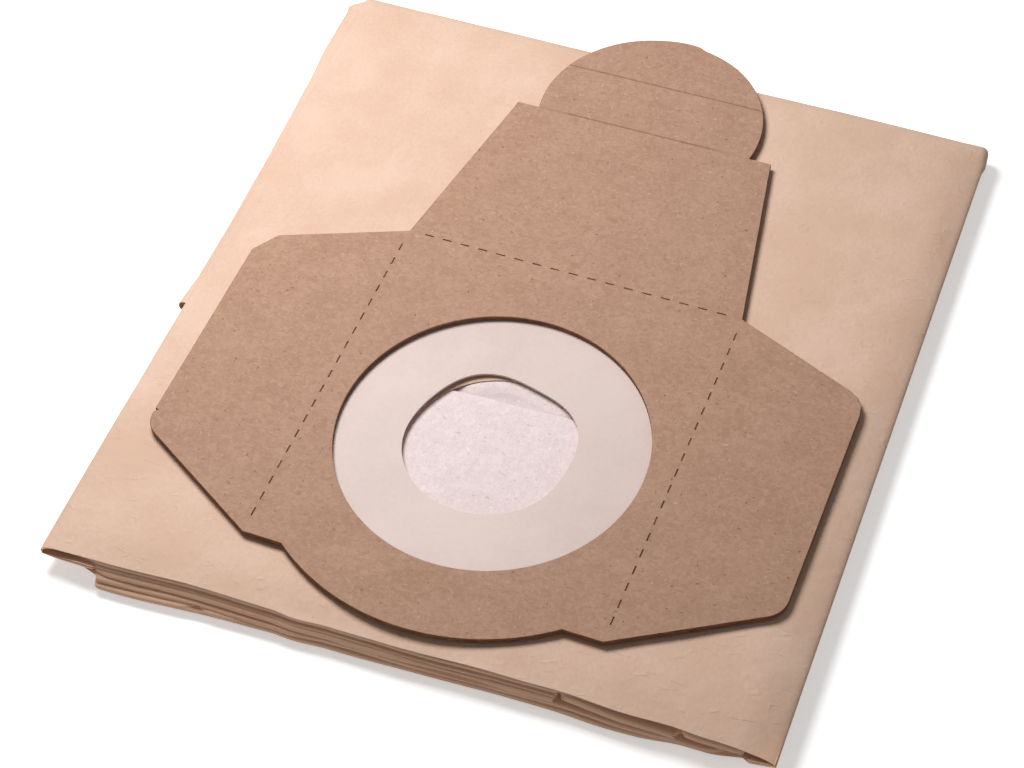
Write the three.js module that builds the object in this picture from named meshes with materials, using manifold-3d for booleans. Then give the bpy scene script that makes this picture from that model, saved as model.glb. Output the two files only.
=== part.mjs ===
import * as THREE from 'three';
import { mergeVertices } from 'three/addons/utils/BufferGeometryUtils.js';
import Module from 'manifold-3d';

// Vacuum dust bag, folded flat as it is sold: a lined, flattened paper tube with its two ends
// folded under, and a die-cut board collar with a rubber seal glued over the inlet.
// Millimetres and degrees, +Z up. X runs along the front fold, Y from the front fold to the back.

// Driving dimensions of the folded paper tube
const PACK_WIDTH = 222.5;
const PACK_LENGTH = 248.7;
const LAYER_THICKNESS = 5;
const LAYER_GAP = 0.4;
const PAPER_WALL = 0.3;
const LINING_WALL = 0.25;
const PLY_GAP = 0.25;

// Driving dimensions of the two tails folded under the top panel
const BACK_TAIL_LENGTH = 147.5;
const BACK_TAIL_LEFT_OVERHANG = 5;
const BACK_TAIL_RIGHT_INSET = 2;
const FRONT_TAIL_LEFT_INSET = 19.5;
const FRONT_TAIL_RIGHT_INSET = 14;
const TAIL_GAP = 2;

// Driving dimensions of the inlet
const INLET_FROM_FRONT = 78.5;
const SEAL_BORE = 51.4;
const SEAL_THICKNESS = 0.8;
const SEAL_OVERLAP = 6.5;
const PAPER_CUT_CLEARANCE = 0.8;
const GLUE_GAP = 0.3;

// Driving dimensions of the board collar, measured from the middle of its window
const BOARD_THICKNESS = 1.8;
const WINDOW_DIAMETER = 95;
const COLLAR_TURN = -0.95;
const FRONT_LIP_RADIUS = 70.8;
const BODY_HALF_WIDTH = 55.6;
const BODY_BACK = 68.8;
const BODY_FRONT = 56;
const WING_REACH = 44.4;
const WING_BACK = 50.7;
const WING_FRONT = 30.1;
const WING_BACK_CORNER = 8;
const WING_FRONT_CORNER = 5;
const NECK_LENGTH = 65.6;
const NECK_END_HALF_WIDTH = 43.9;
const TAB_RADIUS = 37.25;
const TAB_CENTRE_FROM_NECK = 6.9;
const SCORE_SPACING = 22;
const SCORE_WIDTH = 0.8;
const SCORE_DEPTH = 0.4;

// Driving dimensions of the perforated fold lines
const SLOT_LENGTH = 3;
const SLOT_WIDTH = 0.5;
const SLOT_PITCH = 6.1;
const SLOT_CORNER_CLEARANCE = 4;

// Smoothness of round stretches
const TURN_STEP = 18;
const SIDE_SEGMENTS = 6;
const ARC_SEGMENTS = 48;
const CORNER_SEGMENTS = 6;

// Levels, from the surface that the pack lies on
const MIDDLE_Z = LAYER_THICKNESS + LAYER_GAP / 2;
const TURN_RADIUS = (LAYER_THICKNESS + LAYER_GAP) / 2;
const TOP_PANEL_Z = MIDDLE_Z + TURN_RADIUS;
const PACK_TOP = 2 * LAYER_THICKNESS + LAYER_GAP;
const SEAL_Z = PACK_TOP + GLUE_GAP;
const BOARD_Z = SEAL_Z + SEAL_THICKNESS + GLUE_GAP;

// Places along the pack, with its middle at zero
const BACK_EDGE = PACK_LENGTH / 2;
const FRONT_EDGE = -PACK_LENGTH / 2;
const TURN_REACH = TURN_RADIUS + LAYER_THICKNESS / 2;
const BACK_TURN_Y = BACK_EDGE - TURN_REACH;
const FRONT_TURN_Y = FRONT_EDGE + TURN_REACH;
const BACK_TAIL_END = BACK_EDGE - BACK_TAIL_LENGTH;
const FRONT_TAIL_END = BACK_TAIL_END - TAIL_GAP;
const INLET_Y = FRONT_EDGE + INLET_FROM_FRONT;

// Where the left and right folds of each stretch of the tube lie
const TOP_PANEL = { left: -PACK_WIDTH / 2, right: PACK_WIDTH / 2 };
const BACK_TAIL = {
  left: TOP_PANEL.left - BACK_TAIL_LEFT_OVERHANG,
  right: TOP_PANEL.right - BACK_TAIL_RIGHT_INSET,
};
const FRONT_TAIL = {
  left: TOP_PANEL.left + FRONT_TAIL_LEFT_INSET,
  right: TOP_PANEL.right - FRONT_TAIL_RIGHT_INSET,
};

const wasm = await Module();
wasm.setup();

function toSolid(geometry) {
  geometry.deleteAttribute('normal');
  geometry.deleteAttribute('uv');
  const merged = mergeVertices(geometry);
  return new wasm.Manifold(new wasm.Mesh({
    numProp: 3,
    vertProperties: merged.attributes.position.array,
    triVerts: new Uint32Array(merged.index.array),
  }));
}

function toGeometry(solid) {
  const mesh = solid.getMesh();
  const geometry = new THREE.BufferGeometry();
  geometry.setAttribute('position', new THREE.BufferAttribute(mesh.vertProperties, 3));
  geometry.setIndex(new THREE.BufferAttribute(mesh.triVerts, 1));
  geometry.computeVertexNormals();
  return geometry;
}

function extrude(shape, depth) {
  return new THREE.ExtrudeGeometry(shape, { depth, curveSegments: ARC_SEGMENTS, bevelEnabled: false });
}

function namedMesh(name, geometry, material) {
  const mesh = new THREE.Mesh(geometry, new THREE.MeshStandardMaterial(material));
  mesh.name = name;
  return mesh;
}

// One skin of the flattened tube, seen along the tube: flat above and below, with round sides.
// The skin lies a given depth inside the paper's outer face.
function tubeSection(width, depth) {
  const side = (width - LAYER_THICKNESS) / 2;
  const radius = LAYER_THICKNESS / 2 - depth;
  const quarter = Math.PI / 2;
  const shape = new THREE.Shape();
  shape.absarc(side, 0, radius, quarter, -quarter, true);
  shape.absarc(-side, 0, radius, -quarter, -3 * quarter, true);
  return shape;
}

// A station is a place on the tube's middle line, given by the centre that the line turns about
// and by the angle at which the paper's outer face looks: 90 is up, 0 is back and 180 is front.
function turn(centreY, fromAngle, toAngle) {
  const stations = [];
  const steps = Math.round((toAngle - fromAngle) / TURN_STEP);
  for (let i = 0; i <= steps; i += 1) {
    stations.push({ centreY, angle: fromAngle + i * TURN_STEP });
  }
  return stations;
}

// A straight extrusion of the tube's section, bent so that it follows the stations
function foldedTube({ left, right }, depth, stations) {
  const steps = stations.length - 1;
  const geometry = new THREE.ExtrudeGeometry(tubeSection(right - left, depth), {
    depth: steps,
    steps,
    curveSegments: SIDE_SEGMENTS,
    bevelEnabled: false,
  });
  const position = geometry.attributes.position;
  for (let i = 0; i < position.count; i += 1) {
    const { centreY, angle } = stations[Math.round(position.getZ(i))];
    const radius = TURN_RADIUS + position.getY(i);
    const radians = THREE.MathUtils.degToRad(angle);
    const x = (left + right) / 2 + position.getX(i);
    position.setXYZ(i, x, centreY + radius * Math.cos(radians), MIDDLE_Z + radius * Math.sin(radians));
  }
  return toSolid(geometry);
}

// The width that two stretches of the tube have in common
function throat(one, other) {
  return { left: Math.max(one.left, other.left), right: Math.min(one.right, other.right) };
}

// One whole skin of the bag. The tails are not as wide as the top panel, so the tube has a step
// halfway round each fold. Each deeper skin stops one turn step short of it on both sides, which
// leaves a wall across the step, with a throat through the wall into the tail.
function bagSkin(depth, level) {
  const short = level * TURN_STEP;
  const through = short + TURN_STEP;
  const backTailEnd = { centreY: BACK_TAIL_END + depth, angle: -90 };
  const frontTailEnd = { centreY: FRONT_TAIL_END - depth, angle: 270 };
  const stretches = [
    foldedTube(TOP_PANEL, depth, [
      ...turn(BACK_TURN_Y, short, 90),
      ...turn(FRONT_TURN_Y, 90, 180 - short),
    ]),
    foldedTube(BACK_TAIL, depth, [backTailEnd, ...turn(BACK_TURN_Y, -90, -short)]),
    foldedTube(FRONT_TAIL, depth, [...turn(FRONT_TURN_Y, 180 + short, 270), frontTailEnd]),
    foldedTube(throat(TOP_PANEL, BACK_TAIL), depth, turn(BACK_TURN_Y, -through, through)),
    foldedTube(throat(TOP_PANEL, FRONT_TAIL), depth, turn(FRONT_TURN_Y, 180 - through, 180 + through)),
  ];
  return stretches.reduce((skin, stretch) => skin.add(stretch));
}

// The hole through the upper wall of one ply, over the inlet
function inletCut() {
  const disc = new THREE.Shape();
  disc.absarc(0, 0, SEAL_BORE / 2 + PAPER_CUT_CLEARANCE, 0, 2 * Math.PI);
  const cutter = extrude(disc, LAYER_THICKNESS);
  cutter.translate(0, INLET_Y, TOP_PANEL_Z);
  return toSolid(cutter);
}

// A ply is the space between two skins, with the inlet cut through its upper wall
function bagPly(outerDepth, innerDepth, outerLevel) {
  const outer = bagSkin(outerDepth, outerLevel);
  const inner = bagSkin(innerDepth, outerLevel + 1);
  return toGeometry(outer.subtract(inner).subtract(inletCut()));
}

function paperBag() {
  return namedMesh('paper_bag', bagPly(0, PAPER_WALL, 0), {
    color: 0xdfc2aa,
    roughness: 0.85,
    metalness: 0,
    side: THREE.DoubleSide,
  });
}

function innerLining() {
  const outerDepth = PAPER_WALL + PLY_GAP;
  return namedMesh('inner_lining', bagPly(outerDepth, outerDepth + LINING_WALL, 2), {
    color: 0xebdfdc,
    roughness: 0.95,
    metalness: 0,
    side: THREE.DoubleSide,
  });
}

function sealMembrane() {
  const sheet = new THREE.Shape();
  sheet.absarc(0, 0, WINDOW_DIAMETER / 2 + SEAL_OVERLAP, 0, 2 * Math.PI);
  const bore = new THREE.Path();
  bore.absarc(0, 0, SEAL_BORE / 2, 0, 2 * Math.PI, true);
  sheet.holes.push(bore);
  const mesh = namedMesh('seal_membrane', extrude(sheet, SEAL_THICKNESS), {
    color: 0xe6dccd,
    roughness: 0.5,
    metalness: 0,
  });
  mesh.position.set(0, INLET_Y, SEAL_Z);
  return mesh;
}

// A rounded corner: a curve that leaves the first side and joins the second one
function roundCorner(path, before, corner, after, reach) {
  const start = corner.clone().sub(before).setLength(-reach).add(corner);
  const end = after.clone().sub(corner).setLength(reach).add(corner);
  const curve = new THREE.QuadraticBezierCurve(start, corner, end);
  curve.getPoints(CORNER_SEGMENTS).forEach((point) => path.lineTo(point.x, point.y));
}

// The collar's outline: a round lip in front, a wing on each side, and a neck that ends in a tab
function collarOutline() {
  const wingTip = BODY_HALF_WIDTH + WING_REACH;
  const neckEnd = BODY_BACK + NECK_LENGTH;
  const tabCentre = neckEnd + TAB_CENTRE_FROM_NECK;
  const tabAngle = Math.asin(TAB_CENTRE_FROM_NECK / TAB_RADIUS);
  const lipAngle = Math.asin(BODY_FRONT / FRONT_LIP_RADIUS);
  const wingCorners = (side) => [
    new THREE.Vector2(side * BODY_HALF_WIDTH, -BODY_FRONT),
    new THREE.Vector2(side * wingTip, -WING_FRONT),
    new THREE.Vector2(side * wingTip, WING_BACK),
    new THREE.Vector2(side * BODY_HALF_WIDTH, BODY_BACK),
  ];
  const outline = new THREE.Shape();
  outline.absarc(0, 0, FRONT_LIP_RADIUS, Math.PI + lipAngle, 2 * Math.PI - lipAngle, false);
  const right = wingCorners(1);
  outline.lineTo(right[0].x, right[0].y);
  roundCorner(outline, right[0], right[1], right[2], WING_FRONT_CORNER);
  roundCorner(outline, right[1], right[2], right[3], WING_BACK_CORNER);
  outline.lineTo(right[3].x, right[3].y);
  outline.lineTo(NECK_END_HALF_WIDTH, neckEnd);
  outline.absarc(0, tabCentre, TAB_RADIUS, -tabAngle, Math.PI + tabAngle, false);
  outline.lineTo(-NECK_END_HALF_WIDTH, neckEnd);
  const left = wingCorners(-1);
  outline.lineTo(left[3].x, left[3].y);
  roundCorner(outline, left[3], left[2], left[1], WING_BACK_CORNER);
  roundCorner(outline, left[2], left[1], left[0], WING_FRONT_CORNER);
  outline.lineTo(left[0].x, left[0].y);
  outline.closePath();
  return outline;
}

// Cutters for a row of short slots through the board, centred on the stretch between two points
function perforation(from, to) {
  const stretch = to.clone().sub(from);
  const direction = stretch.clone().normalize();
  const count = Math.floor((stretch.length() - SLOT_LENGTH) / SLOT_PITCH) + 1;
  const first = (stretch.length() - (count - 1) * SLOT_PITCH) / 2;
  const cutters = [];
  for (let i = 0; i < count; i += 1) {
    const middle = from.clone().addScaledVector(direction, first + i * SLOT_PITCH);
    const cutter = new THREE.BoxGeometry(SLOT_LENGTH, SLOT_WIDTH, 3 * BOARD_THICKNESS);
    cutter.rotateZ(stretch.angle());
    cutter.translate(middle.x, middle.y, BOARD_THICKNESS / 2);
    cutters.push(toSolid(cutter));
  }
  return cutters;
}

// A pressed crease: a long V cut into the board's upper face
function scoreCut(y) {
  const groove = new THREE.Shape([
    new THREE.Vector2(-SCORE_WIDTH / 2, 0),
    new THREE.Vector2(0, -SCORE_DEPTH),
    new THREE.Vector2(SCORE_WIDTH / 2, 0),
    new THREE.Vector2(0, SCORE_DEPTH),
  ]);
  const length = 2 * NECK_END_HALF_WIDTH + 2 * SCORE_WIDTH;
  const cutter = extrude(groove, length);
  cutter.translate(0, 0, -length / 2);
  cutter.rotateX(Math.PI / 2);
  cutter.rotateZ(Math.PI / 2);
  cutter.translate(0, y, BOARD_THICKNESS);
  return toSolid(cutter);
}

function cardboardCollar() {
  const outline = collarOutline();
  const window = new THREE.Path();
  window.absarc(0, 0, WINDOW_DIAMETER / 2, 0, 2 * Math.PI, true);
  outline.holes.push(window);
  const sideFront = SLOT_CORNER_CLEARANCE - BODY_FRONT;
  const sideBack = BODY_BACK - SLOT_CORNER_CLEARANCE;
  const backReach = BODY_HALF_WIDTH - SLOT_CORNER_CLEARANCE;
  const point = (x, y) => new THREE.Vector2(x, y);
  const neckEnd = BODY_BACK + NECK_LENGTH;
  const cutters = [
    ...perforation(point(-BODY_HALF_WIDTH, sideFront), point(-BODY_HALF_WIDTH, sideBack)),
    ...perforation(point(BODY_HALF_WIDTH, sideFront), point(BODY_HALF_WIDTH, sideBack)),
    ...perforation(point(-backReach, BODY_BACK), point(backReach, BODY_BACK)),
    scoreCut(neckEnd),
    scoreCut(neckEnd + SCORE_SPACING),
  ];
  const board = cutters.reduce(
    (solid, cutter) => solid.subtract(cutter),
    toSolid(extrude(outline, BOARD_THICKNESS)),
  );
  const mesh = namedMesh('cardboard_collar', toGeometry(board), {
    color: 0xb9967d,
    roughness: 0.85,
    metalness: 0,
  });
  mesh.position.set(0, INLET_Y, BOARD_Z);
  mesh.rotation.z = THREE.MathUtils.degToRad(COLLAR_TURN);
  return mesh;
}

const pack = new THREE.Group();
pack.add(paperBag(), innerLining(), sealMembrane(), cardboardCollar());

// The origin is the middle of the whole object's footprint, on the surface that it lies on
pack.updateMatrixWorld(true);
const middle = new THREE.Box3().setFromObject(pack, true).getCenter(new THREE.Vector3());
pack.position.set(-middle.x, -middle.y, 0);

const group = new THREE.Group();
group.add(pack);

export default group;
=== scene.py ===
# %% [markdown]
# # A folded vacuum dust bag
# The bag is sold flat: a lined kraft paper tube, folded in three, with a board collar and a rubber
# seal over its inlet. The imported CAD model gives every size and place. This notebook dresses it:
# first the camera, the floor and the light, then each piece with its own finish.

# %% Load the frame
import math
from collections import namedtuple

import bmesh
import bpy
from mathutils import Matrix, Vector, noise


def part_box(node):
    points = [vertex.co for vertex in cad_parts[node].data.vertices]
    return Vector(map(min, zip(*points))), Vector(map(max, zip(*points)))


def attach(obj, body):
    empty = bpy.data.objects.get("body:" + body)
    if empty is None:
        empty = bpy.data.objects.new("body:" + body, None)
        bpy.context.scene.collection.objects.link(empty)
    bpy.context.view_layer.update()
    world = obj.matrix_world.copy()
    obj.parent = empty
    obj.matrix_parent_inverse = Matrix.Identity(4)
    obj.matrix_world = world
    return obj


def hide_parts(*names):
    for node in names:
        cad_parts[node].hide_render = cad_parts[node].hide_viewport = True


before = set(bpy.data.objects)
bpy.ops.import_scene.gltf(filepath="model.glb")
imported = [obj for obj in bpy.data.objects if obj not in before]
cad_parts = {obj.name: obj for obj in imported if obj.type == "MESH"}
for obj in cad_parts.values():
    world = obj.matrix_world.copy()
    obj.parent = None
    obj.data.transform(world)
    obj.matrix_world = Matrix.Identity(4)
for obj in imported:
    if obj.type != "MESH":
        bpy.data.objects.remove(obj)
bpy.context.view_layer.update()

print("nodes:", sorted(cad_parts))

# %% [markdown]
# Small soft things are easiest to think of in millimetres, from one clear point. Here that point is
# the middle of the collar's window, at the height of the table. X runs to the right, Y to the back
# and Z up. One matrix takes a finished piece from there into the frame, which is in metres.

# %% Measure the frame
MM = 0.001
seal_low, seal_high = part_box("seal_membrane")
paper_low, paper_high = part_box("paper_bag")
board_low, board_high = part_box("cardboard_collar")
window = (seal_low + seal_high) / 2
TO_FRAME = Matrix.Translation((window.x, window.y, 0)) @ Matrix.Scale(MM, 4)
FROM_FRAME = TO_FRAME.inverted()

FRONT = (FROM_FRAME @ paper_low).y
BACK = (FROM_FRAME @ paper_high).y
RIGHT = (FROM_FRAME @ paper_high).x
LEFT = -RIGHT
PACK_TOP = paper_high.z / MM
SEAL_BOTTOM, SEAL_TOP = seal_low.z / MM, seal_high.z / MM
BOARD_BOTTOM, BOARD_TOP = board_low.z / MM, board_high.z / MM
print(f"pack {RIGHT - LEFT:.1f} x {BACK - FRONT:.1f} mm, {PACK_TOP:.1f} mm thick")

# %% [markdown]
# The camera comes first, so that everything after it can be judged. It looks down at the bag from
# the front, a little from the right, with a long lens and a slight roll. The aim is a point on the
# board's face, given from the middle of the window.

# %% Camera
CAMERA_AIM = Vector((-1.58, 21.29, BOARD_TOP))
CAMERA_DISTANCE = 736.2
CAMERA_AZIMUTH = math.radians(23.21)
CAMERA_ELEVATION = math.radians(51.11)
CAMERA_ROLL = math.radians(-3.505)

lens = bpy.data.cameras.new("camera")
lens.lens = 85.65
lens.sensor_width = 36
lens.sensor_fit = "HORIZONTAL"
lens.clip_start = 0.05
camera = bpy.data.objects.new("camera", lens)
bpy.context.scene.collection.objects.link(camera)
turned = (
    Matrix.Rotation(CAMERA_AZIMUTH, 4, "Z")
    @ Matrix.Rotation(math.pi / 2 - CAMERA_ELEVATION, 4, "X")
    @ Matrix.Rotation(CAMERA_ROLL, 4, "Z")
)
backwards = turned.to_3x3() @ Vector((0, 0, 1))
standpoint = TO_FRAME @ (CAMERA_AIM + backwards * CAMERA_DISTANCE)
camera.matrix_world = Matrix.Translation(standpoint) @ turned
bpy.context.scene.camera = camera
print("camera at", [round(value, 3) for value in standpoint])

# %% [markdown]
# Colours are written as they look on a screen, from 0 to 255, because that is how they are read off
# a sample. A shader wants them linear, so one function turns the one into the other.

# %% Colours


def screen_colour(red, green, blue):
    """A linear colour with alpha, from the three numbers that a screen shows."""
    parts = [value / 255 for value in (red, green, blue)]
    linear = [p / 12.92 if p <= 0.04045 else ((p + 0.055) / 1.055) ** 2.4 for p in parts]
    return (*linear, 1.0)


print("a mid grey in linear light:", [round(value, 3) for value in screen_colour(128, 128, 128)])

# %% [markdown]
# Shader maths reads best as plain expressions. `Value` wraps an output socket, and its operators add
# Math nodes. `Finish` is a material under construction: its one method `node` adds any node, with
# the settings first and then the values or links of the sockets.

# %% Values in a shader


class Value:
    """One number or vector that a shader works out at each point."""

    def __init__(self, finish, socket):
        self.finish = finish
        self.socket = socket

    def math(self, operation, first, second=0.0):
        made = self.finish.node("Math", {"operation": operation}, {0: first, 1: second})
        return made.out()

    def __add__(self, other):
        return self.math("ADD", self, other)

    def __radd__(self, other):
        return self.math("ADD", other, self)

    def __sub__(self, other):
        return self.math("SUBTRACT", self, other)

    def __rsub__(self, other):
        return self.math("SUBTRACT", other, self)

    def __mul__(self, other):
        return self.math("MULTIPLY", self, other)

    def __rmul__(self, other):
        return self.math("MULTIPLY", other, self)

    def distance_from(self, level):
        return self.math("ABSOLUTE", self - level)


class Made:
    """A node that was added, and its outputs as values."""

    def __init__(self, finish, node):
        self.finish = finish
        self.node = node

    def out(self, name=0):
        return Value(self.finish, self.node.outputs[name])


print("a value has the operators + - * and a distance from a level")

# %% Material under construction


class Finish:
    """A material under construction, around one Principled shader."""

    def __init__(self, name, **constants):
        self.material = bpy.data.materials.new(name)
        self.material.use_nodes = True
        self.tree = self.material.node_tree
        self.surface = self.tree.nodes["Principled BSDF"]
        for socket, value in constants.items():
            self.surface.inputs[socket.replace("_", " ")].default_value = value

    def feed(self, socket, value):
        if isinstance(value, Value):
            self.tree.links.new(value.socket, socket)
        else:
            socket.default_value = value

    def node(self, kind, settings=None, sockets=None):
        node = self.tree.nodes.new("ShaderNode" + kind)
        for setting, value in (settings or {}).items():
            if setting == "stops":
                for element, (place, shade) in zip(node.color_ramp.elements, value):
                    element.position = place
                    element.color = (shade, shade, shade, 1)
            else:
                setattr(node, setting, value)
        for socket, value in (sockets or {}).items():
            self.feed(node.inputs[socket], value)
        return Made(self, node)

    def place(self, scale=(1, 1, 1), turn=0.0):
        """The place on the piece in millimetres, stretched by scale and turned about Z."""
        where = self.node("TexCoord").out("Object")
        sockets = {
            "Vector": where,
            "Rotation": (0, 0, turn),
            "Scale": [factor / MM for factor in scale],
        }
        return self.node("Mapping", None, sockets).out()

    def cloud(self, size, detail=2.0, scale=(1, 1, 1), turn=0.0, roughness=0.5, distortion=0.0):
        """Soft noise from 0 to 1, with blotches about size millimetres wide."""
        sockets = {
            "Vector": self.place(scale, turn),
            "Scale": 1 / size,
            "Detail": detail,
            "Roughness": roughness,
            "Distortion": distortion,
        }
        return self.node("TexNoise", None, sockets).out(0)

    def between(self, value, low, high):
        """0 where value is under low, 1 where it is over high, and a smooth step between."""
        sockets = {"Value": value, "From Min": low, "From Max": high}
        return self.node("MapRange", {"interpolation_type": "SMOOTHSTEP"}, sockets).out()

    def mix(self, factor, first, second):
        """A colour on the way from the first to the second."""
        sockets = {0: factor, 6: first, 7: second}
        return self.node("Mix", {"data_type": "RGBA"}, sockets).out(2)

    def bump(self, height, strength, depth):
        """A normal from a height of 0 to 1 that stands for depth millimetres."""
        sockets = {"Height": height, "Strength": strength, "Distance": depth * MM}
        return self.node("Bump", None, sockets).out()

    def paint(self, **sockets):
        for socket, value in sockets.items():
            self.feed(self.surface.inputs[socket.replace("_", " ")], value)
        print("finish:", self.material.name, "with", len(self.tree.nodes), "nodes")
        return self.material


print("materials before the first finish:", len(bpy.data.materials))

# %% [markdown]
# A product like this is shown on a seamless pale table in soft light. The big lamp hangs behind the
# bag and to its left, so the front folds and the right side fall into shade, and the board throws a
# soft shadow towards the front right. The floor looks white to the camera by its own colour and a
# glow that only the camera sees. The glow is weaker round the bag, so that the shadow stays.

# %% Floor
FLOOR_HALF = 12000
FLOOR_SEEN = screen_colour(255, 255, 255)
FLOOR_BOUNCE = screen_colour(240, 236, 232)
FLOOR_DARK = screen_colour(0, 0, 0)
FLOOR_GLOW = screen_colour(180, 180, 180)
GLOW_GROWS_FROM, GLOW_GROWS_TO = 260, 650


def make_floor():
    finish = Finish("studio_floor", Roughness=0.9, Specular_IOR_Level=0.0, Emission_Strength=1.0)
    rays = finish.node("LightPath")
    seen = rays.out("Is Camera Ray") + rays.out("Is Glossy Ray") + rays.out("Is Transmission Ray")
    away = finish.node("VectorMath", {"operation": "LENGTH"}, {0: finish.place()}).out("Value")
    far = finish.between(away, GLOW_GROWS_FROM, GLOW_GROWS_TO)
    finish.paint(
        Base_Color=finish.mix(seen, FLOOR_BOUNCE, FLOOR_SEEN),
        Emission_Color=finish.mix(seen, FLOOR_DARK, finish.mix(far, FLOOR_GLOW, FLOOR_SEEN)),
    )
    sheet = bmesh.new()
    bmesh.ops.create_grid(sheet, x_segments=1, y_segments=1, size=FLOOR_HALF)
    bmesh.ops.transform(sheet, matrix=TO_FRAME, verts=sheet.verts)
    mesh = bpy.data.meshes.new("floor")
    sheet.to_mesh(mesh)
    sheet.free()
    mesh.materials.append(finish.material)
    floor = bpy.data.objects.new("floor", mesh)
    bpy.context.scene.collection.objects.link(floor)


make_floor()

# %% Light
KEY_PLACE = Vector((-186, 138, 430))
KEY_SIZE = 240
KEY_WATTS = 2.28
KEY_AIM = Vector((0, 30, 0))
SKY_STRENGTH = 0.17


def make_light():
    lamp = bpy.data.lights.new("key", "AREA")
    lamp.shape = "DISK"
    lamp.size = KEY_SIZE * MM
    lamp.energy = KEY_WATTS
    key = bpy.data.objects.new("key", lamp)
    bpy.context.scene.collection.objects.link(key)
    towards = (KEY_AIM - KEY_PLACE).to_track_quat("-Z", "Y").to_matrix().to_4x4()
    key.matrix_world = Matrix.Translation(TO_FRAME @ KEY_PLACE) @ towards
    world = bpy.data.worlds.new("studio")
    world.use_nodes = True
    sky = world.node_tree.nodes["Background"]
    sky.inputs["Color"].default_value = (1.0, 1.0, 1.0, 1.0)
    sky.inputs["Strength"].default_value = SKY_STRENGTH
    bpy.context.scene.world = world
    bpy.context.scene.view_settings.view_transform = "Standard"
    print("key lamp", KEY_WATTS, "W, sky", SKY_STRENGTH)


make_light()

# %% [markdown]
# Paper, fleece and rubber all start as an edge that is swept along a line, straight on or round a
# fold. `sweep` does both with the spin operator. The soft shape then comes from moving the points,
# as a sculptor would, with smooth steps and gentle noise. A cloth simulation could crumple a sheet
# too, but these folds lie in known places, so it is easier to say where each point goes.

# %% Sweep a line


def sweep(bm, geometry, steps, travel=(0, 0, 0), angle=0.0, about=(0, 0, 0), axis=(1, 0, 0)):
    """Extrudes points or edges step by step and returns the last ones."""
    swept = bmesh.ops.spin(
        bm,
        geom=geometry,
        cent=about,
        axis=axis,
        dvec=Vector(travel) / steps,
        angle=math.radians(angle),
        steps=steps,
    )
    return swept["geom_last"]


print("a sweep turns round a line or travels along one")

# %% Soft steps and noise


def smooth_step(value, low, high):
    share = min(max((value - low) / (high - low), 0.0), 1.0)
    return share * share * (3 - 2 * share)


def blend(share, first, second):
    return first + (second - first) * share


def along(points, place):
    """The height at a place on a line through a few points, with soft bends."""
    for (start, low), (end, high) in zip(points, points[1:]):
        if place <= end:
            return blend(smooth_step(place, start, end), low, high)
    return points[-1][1]


def ripple(size, x, y, seed=0.0):
    """Gentle noise from about -1 to 1, with waves about size millimetres long."""
    return noise.noise(Vector((x / size, y / size, seed)))


print("a quarter of the way up a smooth step:", smooth_step(0.25, 0, 1))

# %% Move, gather and finish a piece
SHARP_ANGLE = 42


def reshape(bm, move):
    for vertex in bm.verts:
        vertex.co = move(vertex.co)


def gather(*pieces):
    """One bmesh that holds all the given ones, which are freed."""
    whole = bmesh.new()
    for piece in pieces:
        mesh = bpy.data.meshes.new("part")
        piece.to_mesh(mesh)
        piece.free()
        whole.from_mesh(mesh)
        bpy.data.meshes.remove(mesh)
    return whole


def finished(bm, name, materials, node, wall=0.0):
    """Brings a piece into the frame, gives it its wall and finish, and lets it stand for a node."""
    if wall:
        bmesh.ops.solidify(bm, geom=bm.faces[:], thickness=wall)
    bmesh.ops.transform(bm, matrix=TO_FRAME, verts=bm.verts)
    mesh = bpy.data.meshes.new(name)
    bm.to_mesh(mesh)
    bm.free()
    mesh.shade_smooth()
    mesh.set_sharp_from_angle(angle=math.radians(SHARP_ANGLE))
    for material in materials:
        mesh.materials.append(material)
    piece = bpy.data.objects.new(name, mesh)
    bpy.context.scene.collection.objects.link(piece)
    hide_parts(node)
    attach(piece, "root")
    print(name, "has", len(mesh.polygons), "faces")
    return piece


print("a finished edge is sharp from", SHARP_ANGLE, "degrees on")

# %% [markdown]
# The kraft paper is smooth and light, with a dry grain, a few faint clouds, and small crumples where
# it has been handled. The crumples are thin broken lines: the place where a soft noise crosses its
# middle, kept only here and there. The plies at the front folds are rawer and a little redder, so
# the colour changes there by height and by place.

# %% Kraft paper finish
KRAFT = screen_colour(229, 196, 175)
KRAFT_DEEP = screen_colour(220, 184, 160)
KRAFT_FLECK = screen_colour(150, 112, 84)
KRAFT_RAW = screen_colour(240, 190, 156)
RAW_LEVELS, RAW_PLACES, RAW_STRENGTH = (8.6, 10.0), (-124, -114), 0.6
CRUMPLE_DEPTH = 0.42


def kraft_finish():
    finish = Finish("kraft_paper", Roughness=0.72, Specular_IOR_Level=0.3)
    clouds = finish.cloud(26, detail=3)
    grain = finish.cloud(0.9, detail=4, scale=(1, 0.6, 1))
    shade = finish.between(clouds * 0.65 + grain * 0.35, 0.36, 0.66)
    flecks = finish.between(finish.cloud(0.9, detail=1), 0.76, 0.82)
    colour = finish.mix(shade, KRAFT_DEEP, KRAFT)
    colour = finish.mix(flecks * 0.5, colour, KRAFT_FLECK)
    place = finish.node("SeparateXYZ", None, {0: finish.place()})
    low = 1 - finish.between(place.out("Z"), *RAW_LEVELS)
    front = 1 - finish.between(place.out("Y"), *RAW_PLACES)
    colour = finish.mix(low * front * RAW_STRENGTH, colour, KRAFT_RAW)
    handled = finish.between(finish.cloud(5, detail=1), 0.54, 0.66)
    line = finish.cloud(6, detail=1.5, scale=(0.6, 1.4, 1), distortion=0.5)
    crumple = (1 - finish.between(line.distance_from(0.5), 0.0, 0.06)) * handled
    dimples = finish.cloud(5, detail=2, scale=(0.8, 1.1, 1))
    height = crumple * 0.2 + dimples * 0.7 + grain * 0.1
    return finish.paint(Base_Color=colour, Normal=finish.bump(height, 1.0, CRUMPLE_DEPTH))


kraft = kraft_finish()

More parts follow.
